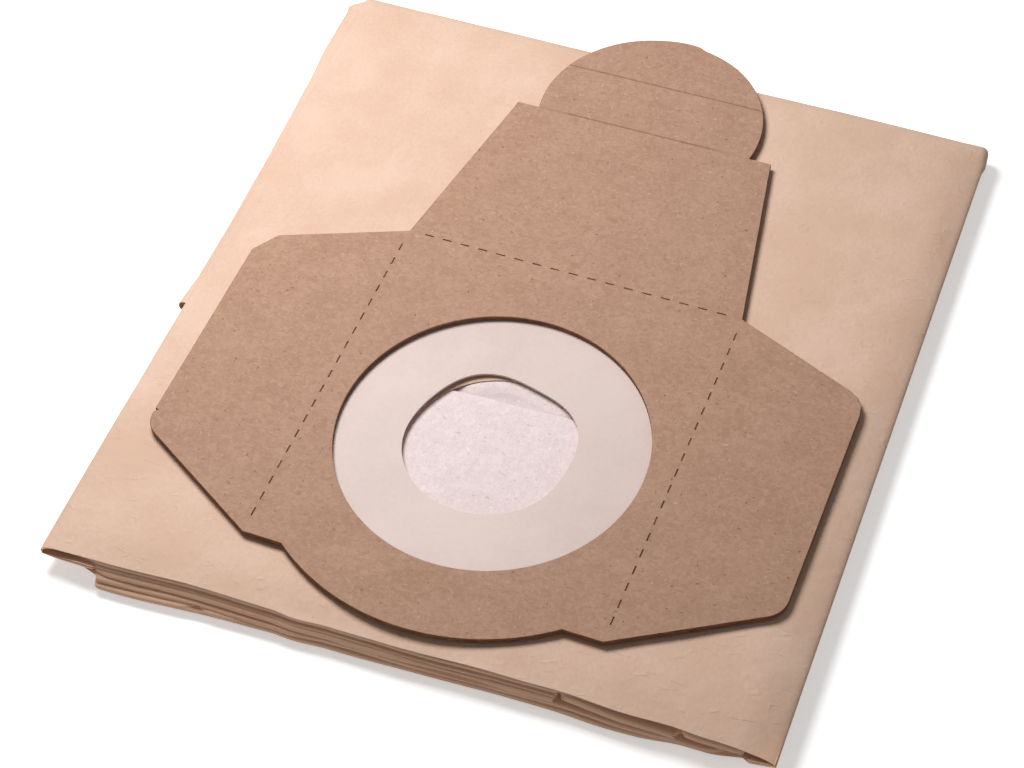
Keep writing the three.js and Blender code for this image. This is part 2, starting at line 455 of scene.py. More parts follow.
# %% [markdown]
# The bag itself is one flattened tube of paper. A pen point draws its section first: across the top,
# round the right side, back below and round the left side. That loop is swept from the open mouth
# in front to the back, round the back fold, and forwards again as the tail that lies underneath.

# %% Levels of the folded paper
LAYER = 5.0
LAYER_GAP = PACK_TOP - 2 * LAYER
MIDDLE = PACK_TOP / 2
PAPER_WALL = 0.3
TOP_CELLS, SIDE_CELLS, UNDER_CELLS = 96, 10, 44
PANEL_CELLS, TURN_CELLS, TAIL_CELLS = 90, 14, 24
MOUTH = FRONT + 3.3
BACK_TURN = BACK - MIDDLE
TAIL_LENGTH = 145.0
HOLE_RADIUS, HOLE_SHIFT = 27.3, Vector((1.0, -2.3))
RIM_CATCH = 6
print(f"mouth at y {MOUTH:.1f}, back turn at y {BACK_TURN:.1f}")

# %% Section and inlet of the tube


def section(bm, left, right, top, bottom, y, cells=TOP_CELLS, under=UNDER_CELLS):
    """The points and edges of a flattened tube, seen along the tube, at a place along it."""
    radius = (top - bottom) / 2
    middle = (top + bottom) / 2
    flat = right - left - 2 * radius
    start = bm.verts.new((left + radius, y, top))
    pen = sweep(bm, [start], cells, travel=(flat, 0, 0))
    pen = sweep(bm, pen, SIDE_CELLS, angle=180, about=(right - radius, y, middle), axis=(0, 1, 0))
    pen = sweep(bm, pen, under, travel=(-flat, 0, 0))
    sweep(bm, pen, SIDE_CELLS, angle=180, about=(left + radius, y, middle), axis=(0, 1, 0))
    bmesh.ops.remove_doubles(bm, verts=bm.verts, dist=0.001)
    return bm.verts[:] + bm.edges[:]


def cut_inlet(bm, radius, centre):
    """A round hole through the upper wall: faces go, and the points round the gap form a circle."""

    def within(place, reach):
        return place.z > MIDDLE + LAYER / 2 and (place.xy - centre).length < reach

    inside = [face for face in bm.faces if within(face.calc_center_median(), radius)]
    bmesh.ops.delete(bm, geom=inside, context="FACES")
    reach = radius + RIM_CATCH
    rim = [vertex for vertex in bm.verts if vertex.is_boundary and within(vertex.co, reach)]
    for vertex in rim:
        vertex.co.xy = centre + (vertex.co.xy - centre).normalized() * radius
    return len(rim)


def face_outwards(bm):
    bmesh.ops.recalc_face_normals(bm, faces=bm.faces)
    highest = max(bm.faces, key=lambda face: face.calc_center_median().z)
    if highest.normal.z < 0:
        bmesh.ops.reverse_faces(bm, faces=bm.faces)


print("the inlet's rim gathers points up to", RIM_CATCH, "mm away")

# %% [markdown]
# Nothing on a folded bag is quite straight. The front edge runs a little askew and droops at both
# corners, where the lip below it curls up. The tail sticks out further and further on the left. The
# upper paper swells between its folds, has a few shallow dents, sinks a little behind the inlet and
# rolls over softly towards the right. These few numbers say so.

# %% Lines of the folded paper
PANEL_LEFT, PANEL_RIGHT = LEFT - 1.3, RIGHT - 0.7
LEFT_ROLL, RIGHT_ROLL = 3.0, 13.0
# Along X: how far the cut front edge lies behind its straight line, and how far it droops
FRONT_LINE = [
    (-112, -1.3), (-93, -1.2), (-61, 0.2), (-39, 0.0), (-32, -0.5), (-21, 0.0), (-3, 0.0),
    (32, 1.0), (48, 1.4), (66, 0.7), (80, 1.1), (90, 0.5), (107, 0.1), (112, -0.6),
]
FRONT_DROOP = [
    (-112, 1.3), (-108, 0.3), (-96, 0.1), (-38, 0.1), (-32, 0.35), (-22, 0.1), (95, 0.1), (112, 1.0),
]
# Along X: how far the lower lip of the open mouth stands out in front, and how far it curls up
LOWER_LIP = [
    (-112, 0.2), (-106, 1.1), (-98, 1.6), (-92, 1.7), (-89, -5.0),
    (97, -5.0), (99, 1.2), (105, 1.7), (112, 0.0),
]
LIP_RISE = [
    (-112, 0.2), (-106, 1.4), (-98, 2.1), (-92, 1.9), (-84, 0.0),
    (95, 0.0), (101, 1.5), (106, 1.3), (112, 0.0),
]
LIP_LEVELS, LIP_REACH, DROOP_REACH = (0.1, 0.95), 5, 9
# Along Y: how far the tail underneath sticks out on the left
TAIL_OVERHANG = [
    (20, 4.7), (26, 4.5), (38, 3.5), (60, 3.4), (88, 3.8), (108, 4.4), (128, 5.1), (147, 6.3), (180, 6.3),
]
# Shallow dents and bulges of the upper paper: place, size along X and along Y, height
DENTS = [
    (103, 128, 4.5, 10, 0.5), (96, 118, 3.0, 7, -0.25), (108, 104, 4, 9, -0.3), (-74, 96, 14, 8, 0.2),
    (88, 152, 6, 4, -0.25), (-96, 20, 4, 14, -0.25), (74, -66, 12, 5, -0.2), (-20, -72, 16, 4, -0.15),
]
BULGE, BULGE_RING = 0.75, (57, 72)
RIM_SAG, RIM_SAG_WIDTH = 0.6, 5
BACK_SKEW = -0.0166
BACK_REACH = 0.7
TAIL_RIGHT_INSET, TAIL_CORNER_PEEK = 2.2, -0.1
COLLAR_KEEP_CLEAR = 0.12
print("the front edge lies", along(FRONT_LINE, 48), "mm behind its line at x 48")

# %% Height of the upper paper


def roll_over(inside, width):
    """The share of its full height that a layer has, this far inside its side fold."""
    share = min(max(inside / width, 0.0), 1.0)
    return math.sqrt(1 - (1 - share) ** 2.4)


def from_inlet(x, y):
    """How far a place lies outside the round hole in the paper, in millimetres."""
    return (Vector((x, y)) - HOLE_SHIFT).length - HOLE_RADIUS


def panel_swell(x, y):
    """How far the upper paper lies over its usual level, in millimetres."""
    waves = 0.42 * ripple(46, x, y * 0.8, 3.1)
    waves += 0.2 * ripple(19, x, y, 8.4)
    waves += 0.08 * ripple(8, x, y, 1.7)
    for at_x, at_y, wide, long, high in DENTS:
        away = ((x - at_x) / wide) ** 2 + ((y - at_y) / long) ** 2
        waves += high * math.exp(-away * away)
    from_sides = min(x - PANEL_LEFT, PANEL_RIGHT - x)
    bulge = BULGE * smooth_step(math.hypot(x, y), *BULGE_RING) * smooth_step(from_sides, 0, 16)
    bulge *= smooth_step(y, MOUTH, MOUTH + 9) * smooth_step(-y, -BACK, 12 - BACK)
    rim_sag = RIM_SAG * (1 - smooth_step(from_inlet(x, y), 0, RIM_SAG_WIDTH))
    rim_sag *= smooth_step(y, 4, 16)
    return min(0.35, waves) + bulge - rim_sag - COLLAR_KEEP_CLEAR


print(f"the right front of the paper swells by {panel_swell(80, -60):.2f} mm")

# %% Shape of the tube


def shape_upper(point, depth=0.0):
    """Moves a point of the straight tube, or of one this deep inside it, to its soft place."""
    x, y, z = point
    if y > BACK_TURN:
        turn = math.atan2(z - MIDDLE, y - BACK_TURN)
    else:
        turn = math.copysign(math.pi / 2, z - MIDDLE)
        level = MIDDLE + math.copysign((LAYER + LAYER_GAP) / 2, z - MIDDLE)
        roll = min(roll_over(x - PANEL_LEFT, LEFT_ROLL), roll_over(PANEL_RIGHT - x, RIGHT_ROLL))
        z = level + math.copysign(LAYER / 2 - depth, z - level) * roll
    under = smooth_step(-turn, -0.5, 0.5)
    above = 1 - under
    share = (x - PANEL_LEFT) / (PANEL_RIGHT - PANEL_LEFT)
    peek = blend(smooth_step(y, BACK - 14, BACK - 7), -TAIL_RIGHT_INSET, TAIL_CORNER_PEEK)
    lengthwise = (y - FRONT) / (BACK - FRONT)
    near_lip = math.exp(-(point.y - MOUTH) / LIP_REACH)
    near_droop = math.exp(-(point.y - MOUTH) / DROOP_REACH)
    height = (point.z - MIDDLE) / MIDDLE
    lip = 1 - smooth_step(height, *LIP_LEVELS)
    x += under * blend(share, -along(TAIL_OVERHANG, y), peek)
    y += blend(lengthwise, along(FRONT_LINE, point.x), BACK_SKEW * point.x + BACK_REACH)
    y -= above * near_lip * along(LOWER_LIP, point.x) * lip
    z -= above * height * near_droop * along(FRONT_DROOP, point.x)
    z += above * near_droop * along(LIP_RISE, point.x) * lip
    if height > 0.5:
        z += above * panel_swell(point.x, point.y) * smooth_step(PANEL_RIGHT - point.x, 0, 8)
    return Vector((x, y, z))


def paper_tube():
    bm = bmesh.new()
    loop = section(bm, PANEL_LEFT, PANEL_RIGHT, PACK_TOP, PACK_TOP - LAYER, MOUTH)
    loop = sweep(bm, loop, PANEL_CELLS, travel=(0, BACK_TURN - MOUTH, 0))
    loop = sweep(bm, loop, TURN_CELLS, angle=-180, about=(0, BACK_TURN, MIDDLE))
    sweep(bm, loop, TAIL_CELLS, travel=(0, MIDDLE - TAIL_LENGTH, 0))
    print("points round the inlet:", cut_inlet(bm, HOLE_RADIUS, HOLE_SHIFT))
    face_outwards(bm)
    reshape(bm, shape_upper)
    return bm


upper_tube = paper_tube()

# %% [markdown]
# In front, the other tail comes out of the mouth, turns down and runs back underneath. Its plies
# bulge out one above the other, as soft bands with dark gaps between them. The sweep makes a plain
# round fold of one closed layer. Each point of its outer wall is then set on a profile: at its
# height it stands out as far as the band that reaches furthest there, and each band is round. One
# band could be one swept sheet too, but a single wall has no gaps or overlaps to repair.

# %% Bands of the front fold
FOLD_TURN = FRONT + MIDDLE
FOLD_CELLS, FOLD_ROWS, FOLD_TAIL_CELLS, FOLD_INNER_CELLS = 180, 84, 20, 4
FOLD_TOP = PACK_TOP - 0.6
FOLD_BOTTOM = 0.2
FOLD_LEFT_UPPER, FOLD_RIGHT_UPPER = -101.4, 104.0
FOLD_LEFT_LOWER, FOLD_RIGHT_LOWER = -94.2, 104.0
FOLD_TAIL_END = BACK - TAIL_LENGTH - 2
FOLD_LAYER, FOLD_PIVOT = 3.6, 9.0
FOLD_OUTER = (FOLD_TOP - FOLD_BOTTOM) / 2
GAP_DEPTH = -2.6
LOWER_GROUP_LEVELS, TUCK_LEVELS = (5.7, 6.3), (0.8, 3.6)
(LEFT_TUCK, LEFT_TUCK_REACH), (RIGHT_TUCK, RIGHT_TUCK_REACH) = (2.2, 5), (2.5, 6)

# A band runs from start to end along X and comes out over a short step at each end. The rest is
# its height on the left and on the right, half its own height, and how far it reaches along X.
Band = namedtuple("Band", "start end start_step end_step left_z right_z half reach")
BANDS = [
    Band(-30, 102, 40.0, 2.0, 9.7, 9.7, 0.2, [(-30, -0.1), (102, -0.15)]),
    Band(-110, 48.0, 2.0, 0.7, 8.8, 8.9, 1.05, [(-101, -1.0), (-92, 0.0), (48, 0.1)]),
    Band(-110, 47.6, 6.0, 0.7, 7.5, 7.4, 0.6, [(-101, -0.8), (-92, 0.7), (47, 0.9)]),
    Band(-97, 47.4, 3.0, 0.9, 6.4, 6.2, 0.95, [(-97, 0.6), (-90, 1.7), (-60, 1.9), (47, 1.5)]),
    Band(47.0, 82.8, 0.6, 1.0, 7.9, 5.7, 1.7, [(48, 0.7), (82, 1.0)]),
    Band(82.2, 102.4, 0.6, 1.2, 8.0, 7.7, 1.7, [(83, 0.4), (102, 0.1)]),
    Band(
        -110, 100, 3.0, 8.0, 4.6, 4.6, 1.0,
        [(-94, 3.2), (-50, 2.9), (-13, 1.9), (70, 1.6), (100, 0.2)],
    ),
    Band(
        -110, 110, 3.0, 14.0, 2.9, 2.9, 1.1,
        [
            (-94, 4.3), (-69, 4.5), (-32, 2.9), (5, 2.1),
            (54, 2.4), (70, 1.9), (90, 0.3), (100, -1.6),
        ],
    ),
]
# Along Z: how far the paper under the bands stands out, on its way back to the table
UNDERSIDE = [(0.2, -5.0), (0.7, -2.4), (1.4, -0.6), (2.4, 0.0), (4.0, -1.6), (10.0, GAP_DEPTH)]
# Small dark pockets: place along X, height, length, half height, depth
POCKETS = [
    (-62.0, 3.75, 2.4, 0.5, 1.8),
    (48.0, 8.4, 0.7, 1.2, 1.8),
    (82.6, 7.6, 0.7, 1.5, 2.2),
    (102.8, 7.9, 1.6, 0.9, 1.6),
    (-13.0, 6.9, 6.0, 0.4, 0.6),
    (20.0, 5.4, 9.0, 0.5, 0.6),
    (-80.0, 5.6, 5.0, 0.4, 0.5),
]
# The lower plies draw back towards the right corner
RIGHT_DRAW, RIGHT_DRAW_PLACES, RIGHT_DRAW_LEVELS = 2.4, (90, 104), (4.5, 7.5)
print("bands:", len(BANDS), "pockets:", len(POCKETS))

# %% Shape of the front fold


def fold_stand(x, height):
    """How far the fold stands out in front of the cut edge above it, in millimetres."""
    stand = along(UNDERSIDE, height)
    for number, band in enumerate(BANDS):
        out = smooth_step(x, band.start, band.start + band.start_step)
        out *= smooth_step(-x, -band.end, band.end_step - band.end)
        share = (x - band.start) / (band.end - band.start)
        middle = blend(share, band.left_z, band.right_z) + 0.45 * ripple(37, x, 0, 3.7 * number)
        reach = along(band.reach, x) + 0.35 * ripple(23, x, 0, 2.9 * number)
        away = abs(height - middle) / band.half
        curve = (1 - away**3) ** 0.5 if away < 1 else -5 * (away - 1)
        stand = max(stand, reach - band.half * (1 - curve) - 4 * (1 - out))
    for at_x, at_z, long, tall, deep in POCKETS:
        stand -= deep * math.exp(-(((x - at_x) / long) ** 2) - ((height - at_z) / tall) ** 2)
    drawn = smooth_step(x, *RIGHT_DRAW_PLACES) * (1 - smooth_step(height, *RIGHT_DRAW_LEVELS))
    return stand - RIGHT_DRAW * drawn


def shape_fold(point):
    x, y, z = point
    away = Vector((y - FOLD_TURN, z - MIDDLE))
    height = z
    if y < FOLD_TURN:
        height = blend(math.atan2(away.y, -away.x) / math.pi + 0.5, FOLD_BOTTOM, FOLD_TOP)
    lower = 1 - smooth_step(height, *LOWER_GROUP_LEVELS)
    share = (x - FOLD_LEFT_UPPER) / (FOLD_RIGHT_UPPER - FOLD_LEFT_UPPER)
    left_step, right_step = FOLD_LEFT_LOWER - FOLD_LEFT_UPPER, FOLD_RIGHT_LOWER - FOLD_RIGHT_UPPER
    x += lower * blend(share, left_step, right_step)
    edge = MOUTH + along(FRONT_LINE, x)
    if point.y >= FOLD_TURN:
        return Vector((x, y + math.exp((FOLD_TURN - y) / 10) * (edge + FOLD_PIVOT - FOLD_TURN), z))
    low = 1 - smooth_step(height, *TUCK_LEVELS)
    x += low * LEFT_TUCK * math.exp((FOLD_LEFT_LOWER - x) / LEFT_TUCK_REACH)
    x -= low * RIGHT_TUCK * math.exp((x - FOLD_RIGHT_LOWER) / RIGHT_TUCK_REACH)
    target = Vector((edge - fold_stand(x, height), height))
    pivot = Vector((edge + FOLD_PIVOT, MIDDLE))
    outer = smooth_step(away.length, FOLD_OUTER - FOLD_LAYER, FOLD_OUTER)
    placed = pivot + (target - pivot) * blend(outer, 0.3, 1.0)
    return Vector((x, placed.x, placed.y))


def front_fold():
    bm = bmesh.new()
    middle = (FOLD_TOP + FOLD_BOTTOM) / 2
    inner_end = FOLD_TURN + 16
    loop = section(
        bm, FOLD_LEFT_UPPER, FOLD_RIGHT_UPPER, FOLD_TOP, FOLD_TOP - FOLD_LAYER, inner_end,
        cells=FOLD_CELLS, under=UNDER_CELLS,
    )
    loop = sweep(bm, loop, FOLD_INNER_CELLS, travel=(0, FOLD_TURN - inner_end, 0))
    loop = sweep(bm, loop, FOLD_ROWS, angle=180, about=(0, FOLD_TURN, middle))
    sweep(bm, loop, FOLD_TAIL_CELLS, travel=(0, FOLD_TAIL_END - FOLD_TURN, 0))
    face_outwards(bm)
    reshape(bm, shape_fold)
    return bm


print(f"in the middle the fold stands out by {fold_stand(0, 6.3):.1f} mm")

# %% [markdown]
# The paper is two plies thick. The inner one shows at the open mouth, a little behind the outer one,
# and it peeps out at the left corner. A short tube is enough for it.

# %% Inner ply and whole bag
PLY_INSET, PLY_LENGTH = 0.42, 14


def inner_ply():
    bm = bmesh.new()
    loop = section(
        bm, PANEL_LEFT + PLY_INSET, PANEL_RIGHT - PLY_INSET,
        PACK_TOP - PLY_INSET, PACK_TOP - LAYER + PLY_INSET, MOUTH,
    )
    sweep(bm, loop, 6, travel=(0, PLY_LENGTH, 0))
    face_outwards(bm)
    for vertex in bm.verts:
        corner = math.exp((PANEL_LEFT - vertex.co.x) / 3)
        vertex.co = shape_upper(vertex.co, PLY_INSET) + Vector((0, 0.35 - 0.8 * corner, 0))
    return bm


kraft_bag = finished(
    gather(upper_tube, inner_ply(), front_fold()),
    "kraft_bag", [kraft], "paper_bag", PAPER_WALL,
)

# %% [markdown]
# Inside the paper lies a soft white fleece that holds the fine dust back. It follows the same
# section, a little smaller, so the same functions make it. Through the inlet one sees a pleat of
# it, whose folded edge runs across the hole, and behind that edge the next layer, which rises to
# the paper. Little light gets to that layer, and that shade is also painted into the fleece's
# colour, which turns greyer below a set height. Short fibres make the fleece mottled: bright
# threads on a slightly rosy ground, with a rough relief.

# %% Fleece finish
FLEECE = screen_colour(248, 232, 231)
FLEECE_SHADE = screen_colour(235, 216, 215)
FLEECE_THREAD = screen_colour(196, 168, 158)
FLEECE_GLINT = screen_colour(255, 246, 246)
# Painted shade: the greyer colour of the fleece below the pleat, the heights over which it fades in, and
# its strength
FLEECE_PAINTED_SHADE = screen_colour(222, 206, 209)
PAINTED_SHADE_LEVELS, PAINTED_SHADE_STRENGTH = (8.3, 8.8), 0.7


def fleece_finish():
    finish = Finish("filter_fleece", Roughness=0.95, Specular_IOR_Level=0.1)
    threads = finish.cloud(0.9, detail=5, scale=(1, 0.6, 1), roughness=0.75, distortion=1.5)
    tufts = finish.cloud(4, detail=3, distortion=0.8)
    shade = finish.between(threads * 0.75 + tufts * 0.25, 0.38, 0.62)
    dark = finish.between(finish.cloud(1.0, detail=3, scale=(0.5, 1, 1), turn=0.8), 0.64, 0.72)
    glint = finish.between(finish.cloud(0.8, detail=2, scale=(1, 0.5, 1), turn=0.5), 0.68, 0.74)
    height = finish.node("SeparateXYZ", None, {0: finish.place()}).out("Z")
    colour = finish.mix(shade, FLEECE_SHADE, FLEECE)
    # Painted shade: below the pleat the fleece is mixed towards a greyer colour, by height
    deep = PAINTED_SHADE_STRENGTH - PAINTED_SHADE_STRENGTH * finish.between(height, *PAINTED_SHADE_LEVELS)
    colour = finish.mix(deep, colour, FLEECE_PAINTED_SHADE)
    colour = finish.mix(dark * 0.5, colour, FLEECE_THREAD)
    colour = finish.mix(glint * 0.8, colour, FLEECE_GLINT)
    return finish.paint(Base_Color=colour, Normal=finish.bump(threads, 0.8, 0.3))


fleece = fleece_finish()

# %% Fleece lining
LINING_INSET = 0.55
LINING_SETBACK = 16
LINING_WALL = 0.25
LINING_HOLE = 30.0
PLEAT_LEVEL = 9.3
PLEAT_RADIUS = 0.4
PLEAT_WIDTH, PLEAT_DEPTH = 84, 52
PLEAT_EDGE_AT, PLEAT_EDGE_SLOPE = 16.6, 0.03
PLEAT_SLACK = 0.3
UNDER_FROM, UNDER_LENGTH = -4, 40
UNDER_PAPER, UNDER_LINING = 0.42, 1.0


def fleece_tube():
    bm = bmesh.new()
    loop = section(
        bm, PANEL_LEFT + LINING_INSET, PANEL_RIGHT - LINING_INSET,
        PACK_TOP - LINING_INSET, PACK_TOP - LAYER + LINING_INSET, MOUTH + LINING_SETBACK,
        cells=55, under=55,
    )
    sweep(bm, loop, 60, travel=(0, BACK_TURN - MOUTH - LINING_SETBACK - 4, 0))
    cut_inlet(bm, LINING_HOLE, Vector((0, 0)))
    face_outwards(bm)
    reshape(bm, lambda point: shape_upper(point, LINING_INSET))
    return bm


lining_tube = fleece_tube()
print("the lining has", len(lining_tube.faces), "faces before its wall")

# %% Pleat and next layer


def shape_pleat(point):
    x, y, z = point
    y += PLEAT_EDGE_AT + PLEAT_EDGE_SLOPE * x + 0.5 * ripple(18, x, 0, 2.2)
    z += 0.16 * ripple(15, x, y, 6.0) + 0.08 * ripple(4, x, y, 3.0)
    return Vector((x, y, z))


def fleece_pleat():
    """A folded sheet: forwards above, round its back edge, and forwards again below."""
    bm = bmesh.new()
    pen = [bm.verts.new((-PLEAT_WIDTH / 2, -PLEAT_DEPTH, PLEAT_LEVEL))]
    pen = sweep(bm, pen, 40, travel=(0, PLEAT_DEPTH, 0))
    centre = (0, 0, PLEAT_LEVEL - PLEAT_RADIUS)
    pen = sweep(bm, pen, 8, angle=-180, about=centre)
    sweep(bm, pen, 20, travel=(0, -PLEAT_DEPTH, 0))
    sweep(bm, bm.verts[:] + bm.edges[:], 64, travel=(PLEAT_WIDTH, 0, 0))
    face_outwards(bm)
    reshape(bm, shape_pleat)
    return bm


def fleece_under():
    """The next layer of fleece, which shows behind the pleat's folded edge."""
    bm = bmesh.new()
    level = PLEAT_LEVEL - 2 * PLEAT_RADIUS - PLEAT_SLACK
    pen = [bm.verts.new((-PLEAT_WIDTH / 2, UNDER_FROM, level))]
    sweep(bm, pen, 24, travel=(0, UNDER_LENGTH, 0))
    sweep(bm, bm.verts[:] + bm.edges[:], 48, travel=(PLEAT_WIDTH, 0, 0))
    face_outwards(bm)
    for vertex in bm.verts:
        x, y, low = vertex.co
        low += 0.25 * ripple(9, x, y, 9.5)
        away = from_inlet(x, y)
        beneath = blend(smooth_step(away, 0.5, 3), UNDER_PAPER, UNDER_LINING)
        high = PACK_TOP + panel_swell(x, y) - beneath
        vertex.co.z = blend(smooth_step(away, -5.5, -1.0) * smooth_step(y, 16.8, 20), low, high)
    return bm


fleece_lining = finished(
    gather(lining_tube, fleece_pleat(), fleece_under()),
    "fleece_lining", [fleece], "inner_lining", LINING_WALL,
)

# %% [markdown]
# The seal is a thin sheet of cream rubber with a hole that grips the inlet stub. Die cutting leaves
# the hole a little out of round, and the sheet lies in slow waves. A disc of rings does it: a circle
# of points at the hole, swept outwards ring by ring with the extrude and scale operators.

# %% Rubber finish
RUBBER = screen_colour(223, 203, 195)
RUBBER_SHADE = screen_colour(216, 195, 188)


def rubber_finish():
    finish = Finish("seal_rubber", Roughness=0.48, Specular_IOR_Level=0.35)
    bloom = finish.cloud(22, detail=3)
    dust = finish.cloud(1.4, detail=3)
    colour = finish.mix(finish.between(bloom * 0.7 + dust * 0.3, 0.35, 0.65), RUBBER_SHADE, RUBBER)
    return finish.paint(Base_Color=colour, Normal=finish.bump(dust, 0.15, 0.05))


rubber = rubber_finish()

# %% Rubber seal
SEAL_SPOKES = 144
SEAL_RINGS = [25.9, 26.2, 26.8, 27.8, 29.5, 32, 35, 38, 41, 44, 47, 50, 54]
SEAL_WALL = SEAL_TOP - SEAL_BOTTOM - 0.1
# Harmonics round the hole: how often, how far in millimetres, and where they start
OUT_OF_ROUND = [(1, 1.0, 2.35), (3, 0.25, -0.7), (4, 0.6, -2.2), (5, 0.3, 2.8)]


def shape_seal(point):
    x, y, z = point
    radius = math.hypot(x, y)
    angle = math.atan2(y, x)
    inner = 1 - smooth_step(radius, 25, 37)
    radius += inner * sum(far * math.cos(often * angle + turn) for often, far, turn in OUT_OF_ROUND)
    waves = 0.16 * math.cos(2 * angle + 0.9) + 0.12 * ripple(17, x, y, 4.4)
    free = 1 - smooth_step(radius, 36, 48)
    z += free * waves
    return Vector((radius * math.cos(angle), radius * math.sin(angle), z))


def seal_disc():
    bm = bmesh.new()
    made = bmesh.ops.create_circle(bm, segments=SEAL_SPOKES, radius=SEAL_RINGS[0])
    bmesh.ops.translate(bm, verts=made["verts"], vec=(0, 0, SEAL_TOP))
    ring = bm.edges[:]
    for smaller, larger in zip(SEAL_RINGS, SEAL_RINGS[1:]):
        grown = bmesh.ops.extrude_edge_only(bm, edges=ring)["geom"]
        points = [part for part in grown if isinstance(part, bmesh.types.BMVert)]
        bmesh.ops.scale(bm, verts=points, vec=(larger / smaller, larger / smaller, 1))
        ring = [part for part in grown if isinstance(part, bmesh.types.BMEdge)]
    face_outwards(bm)
    reshape(bm, shape_seal)
    return bm


seal_sheet = finished(
    seal_disc(), "seal_sheet", [rubber], "seal_membrane", SEAL_WALL,
)

# %% [markdown]
# The collar is die cut from grey-brown solid board. Recycled fibre gives it a mottled face with
# light and dark flecks and a faint grain along the roll, and its cut edges are darker and rough.
# The face and the cut edges get a finish each.

# %% Board finishes
BOARD = screen_colour(189, 151, 128)
BOARD_DEEP = screen_colour(170, 132, 109)
BOARD_DARK_FLECK = screen_colour(120, 84, 64)
BOARD_LIGHT_FLECK = screen_colour(216, 182, 158)
BOARD_EDGE = screen_colour(146, 106, 78)
BOARD_EDGE_DEEP = screen_colour(108, 74, 52)


def board_finish():
    finish = Finish("collar_board", Roughness=0.8, Specular_IOR_Level=0.25)
    clouds = finish.cloud(12, detail=3)
    pulp = finish.cloud(1.8, detail=5, scale=(0.9, 1, 1), roughness=0.75, distortion=1.0)
    shade = finish.between(clouds * 0.2 + pulp * 0.8, 0.34, 0.66)
    colour = finish.mix(shade, BOARD_DEEP, BOARD)
    dark = finish.between(finish.cloud(1.1, detail=1), 0.72, 0.78)
    light = finish.between(finish.cloud(0.8, detail=2, scale=(0.35, 1, 1), turn=0.5), 0.64, 0.76)
    light = light + finish.between(finish.cloud(0.8, detail=2, scale=(1, 0.35, 1), turn=0.3), 0.66, 0.78)
    colour = finish.mix(dark * 0.75, colour, BOARD_DARK_FLECK)
    colour = finish.mix(light * 0.5, colour, BOARD_LIGHT_FLECK)
    height = pulp * 0.7 + light * 0.3
    return finish.paint(Base_Color=colour, Normal=finish.bump(height, 0.4, 0.12))


def board_edge_finish():
    finish = Finish("collar_board_edge", Roughness=0.92, Specular_IOR_Level=0.15)
    plies = finish.cloud(1.5, detail=4, scale=(0.4, 0.4, 4))
    fuzz = finish.cloud(0.5, detail=3)
    shade = finish.between(plies * 0.7 + fuzz * 0.3, 0.38, 0.62)
    colour = finish.mix(shade, BOARD_EDGE_DEEP, BOARD_EDGE)
    return finish.paint(Base_Color=colour, Normal=finish.bump(fuzz, 0.5, 0.15))


board = board_finish()
board_edge = board_edge_finish()

# %% [markdown]
# The collar's outline is drawn with the same pen: straight stretches and arcs, from corner to
# corner. Each perforation is a small outline of its own inside the big one. Filling the outlines
# gives the face, and one extrusion gives the thickness. A perforation's own face is then pressed in
# with an inset, because the fibres close again behind the knife and leave a narrow brown groove. A
# worn die has left a torn nick in the left wing, and a small step in the tab's round edge.

# %% Measures of the collar
COLLAR_TURN = math.radians(-0.95)
WINDOW_RADIUS = 47.5
LIP_RADIUS = 70.8
BODY_HALF, BODY_BACK, BODY_FRONT = 55.6, 68.8, 56.0
WING_REACH, WING_BACK, WING_FRONT = 44.4, 50.7, 30.1
# The back corner of the left wing and of the right: how far it is cut back, and in how many steps
WING_BACK_CORNERS, WING_FRONT_CORNER = [(6.0, 1), (6.0, 3)], 5.0
WING_NICK = [(0.0, 1.5), (1.0, 1.1), (0.2, 0.5)]
TAB_WEAR = [(-12, 0.0), (2, 0.55), (4.5, 0.55), (7.5, -0.25), (22, 0.0)]
NECK_LENGTH, NECK_HALF = 65.6, 43.9
TAB_RADIUS, TAB_CENTRE_FROM_NECK = 37.25, 6.9
SCORE_SPACING, SCORE_HALF_WIDTH, SCORE_DEPTH = 22.0, 0.3, 0.45
SLOT_LENGTH, SLOT_HALF_WIDTH, SLOT_PITCH, SLOT_CORNER_CLEARANCE = 3.0, 0.26, 6.1, 4.0
SLOT_DEPTH, SLOT_SLANT = 0.3, 0.2
NECK_END = BODY_BACK + NECK_LENGTH
SCORES = (NECK_END, NECK_END + SCORE_SPACING)
print(f"the collar is {2 * (BODY_HALF + WING_REACH):.1f} mm wide")

# %% Outline of the collar


def draw_line(bm, points, closed=False):
    """Joins points by edges, and returns the edges."""
    vertices = [bm.verts.new((*point, 0)) for point in points]
    pairs = list(zip(vertices, vertices[1:]))
    if closed:
        pairs.append((vertices[-1], vertices[0]))
    return [bm.edges.new(pair) for pair in pairs]


def arc(centre, radius, start, end, steps):
    """Points on an arc, with angles in radians."""
    angles = [blend(step / steps, start, end) for step in range(steps + 1)]
    x, y = centre
    return [Vector((x + radius * math.cos(a), y + radius * math.sin(a))) for a in angles]


def rounded(before, corner, after, reach, steps=8):
    """Points round a corner, on a curve that starts and ends a reach away from it."""
    start = corner + (before - corner).normalized() * reach
    end = corner + (after - corner).normalized() * reach
    shares = [step / steps for step in range(steps + 1)]
    return [blend(s, blend(s, start, corner), blend(s, corner, end)) for s in shares]


